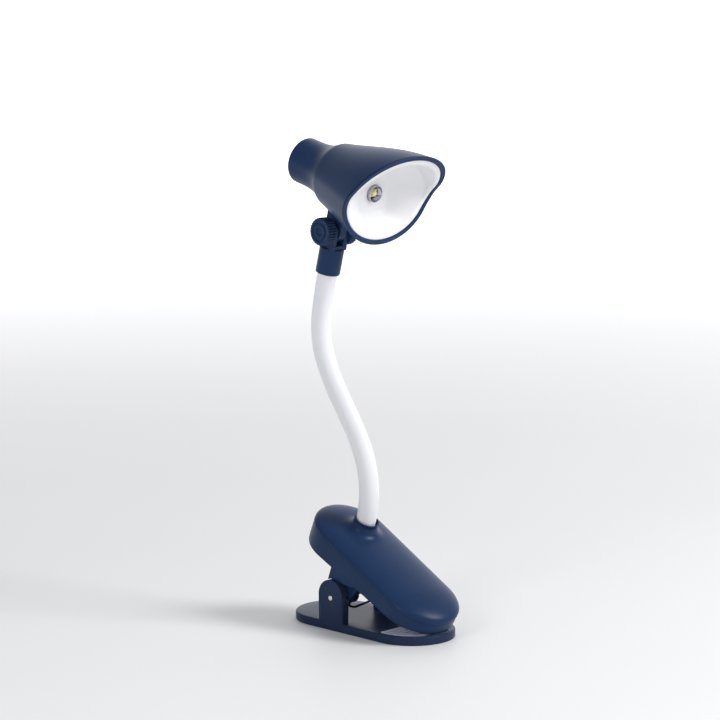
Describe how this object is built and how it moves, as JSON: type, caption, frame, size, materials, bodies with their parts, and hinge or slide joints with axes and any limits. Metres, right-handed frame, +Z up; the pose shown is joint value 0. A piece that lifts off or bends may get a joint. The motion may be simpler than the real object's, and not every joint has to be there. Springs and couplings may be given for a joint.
{
  "type": "clip-on reading lamp",
  "caption": "Small sprung clip-on reading lamp with a bendable sleeved neck, a tilting bell-shaped LED head with a rear push switch, and a jaw that holds the battery.",
  "frame": {"origin": "centre of the base plate's underside, on the surface it stands on", "axes": "+X to the front, where the clip opens and the head shines; +Z up; +Y to the lamp's left"},
  "size_m": [0.1093, 0.0652, 0.2585],
  "materials": {
    "navy_plastic": "satin moulded plastic",
    "navy_gloss": "polished moulded plastic",
    "pad_rubber": "soft ribbed grip rubber",
    "steel": "bright zinc-plated steel",
    "spring_steel": "dark oil-tempered spring wire",
    "white_silicone": "smooth matte silicone sleeve",
    "white_plastic": "white moulded plastic",
    "cell_wrap": "laminated pouch foil",
    "circuit_board": "green solder mask",
    "white_board": "white solder mask on aluminium core",
    "wire_red": "insulated lead",
    "core_steel": "wound gooseneck",
    "zinc": "die-cast or pressed light metal",
    "led_yellow": "phosphor under clear silicone",
    "cup_chrome": "vacuum-metallised plastic",
    "black_plastic": "moulded switch housing",
    "button_grey": "satin moulded plastic"
  },
  "bodies": {
    "base": {"base_plate": "navy_gloss", "hinge_pin": "steel", "lower_pad": "pad_rubber", "torsion_spring": "spring_steel"},
    "jaw": {"jaw_body": "navy_plastic", "top_cover": "navy_plastic", "upper_pad": "pad_rubber", "cover_screws": "steel", "neck_anchor": "black_plastic", "battery_cell": "cell_wrap", "battery_leads": "wire_red", "control_board": "circuit_board", "charging_port": "steel", "neck_sleeve_1": "white_silicone", "gooseneck_1": "core_steel", "lamp_wires_1": "wire_red", "neck_bend_1": "white_silicone"},
    "neck_foot": {"neck_sleeve_2": "white_silicone", "gooseneck_2": "core_steel", "lamp_wires_2": "wire_red", "neck_bend_2": "white_silicone"},
    "neck_middle": {"neck_sleeve_3": "white_silicone", "gooseneck_3": "core_steel", "lamp_wires_3": "wire_red", "neck_bend_3": "white_silicone"},
    "neck_top": {"neck_sleeve_4": "white_silicone", "gooseneck_4": "core_steel", "lamp_wires_4": "wire_red", "neck_bend_4": "white_silicone"},
    "socket": {"neck_sleeve_5": "white_silicone", "gooseneck_5": "core_steel", "lamp_wires_5": "wire_red", "neck_socket": "navy_plastic", "nut_knob": "navy_plastic", "hex_nut": "steel"},
    "knob": {"thumb_knob": "navy_plastic", "tilt_screw": "steel"},
    "head": {"shade": "navy_plastic", "rear_cap": "navy_plastic", "reflector_liner": "white_plastic", "tilt_lug": "navy_plastic", "lug_screws": "steel", "led_board": "white_board", "led_emitter": "led_yellow", "led_cup": "cup_chrome", "heat_sink": "zinc", "board_screws": "steel", "switch_body": "black_plastic", "head_leads": "wire_red"},
    "button": {"switch_button": "button_grey"}
  },
  "joints": [
    {"name": "clip_hinge", "type": "hinge", "parent": "base", "child": "jaw", "pos_m": [-0.0103, 0, 0.0176], "axis": [0, -1, 0], "range_deg": [0, 30], "stiffness_Nm_per_rad": 0.35, "springref_deg": -51.57, "deforming": ["torsion_spring"]},
    {"name": "neck_bend_1_pitch", "type": "hinge", "parent": "jaw", "child": "neck_foot", "pos_m": [-0.00409, 0, 0.07224], "axis": [0, 1, 0], "range_deg": [-35, 35], "deforming": ["neck_bend_1"]},
    {"name": "neck_bend_2_sway", "type": "hinge", "parent": "neck_foot", "child": "neck_middle", "pos_m": [-0.01377, 0, 0.10329], "axis": [0.8523, 0, 0.523], "range_deg": [-35, 35], "deforming": ["neck_bend_2"]},
    {"name": "neck_bend_3_pitch", "type": "hinge", "parent": "neck_middle", "child": "neck_top", "pos_m": [-0.03265, 0, 0.13155], "axis": [0, 1, 0], "range_deg": [-35, 35], "deforming": ["neck_bend_3"]},
    {"name": "neck_bend_4_sway", "type": "hinge", "parent": "neck_top", "child": "socket", "pos_m": [-0.04044, 0, 0.16202], "axis": [0.996, 0, -0.0898], "range_deg": [-35, 35], "deforming": ["neck_bend_4"]},
    {"name": "head_tilt", "type": "hinge", "parent": "socket", "child": "head", "pos_m": [-0.0294, 0, 0.21064], "axis": [0, 1, 0], "range_deg": [-35, 30]},
    {"name": "knob_turn", "type": "hinge", "parent": "socket", "child": "knob", "pos_m": [-0.0294, 0, 0.21064], "axis": [0, -1, 0], "range_deg": [0, 270]},
    {"name": "switch_press", "type": "slide", "parent": "head", "child": "button", "axis": [0.9703, 0, -0.2419], "range_m": [0, 0.0012], "stiffness_N_per_m": 900, "springref_m": -0.0006}
  ]
}
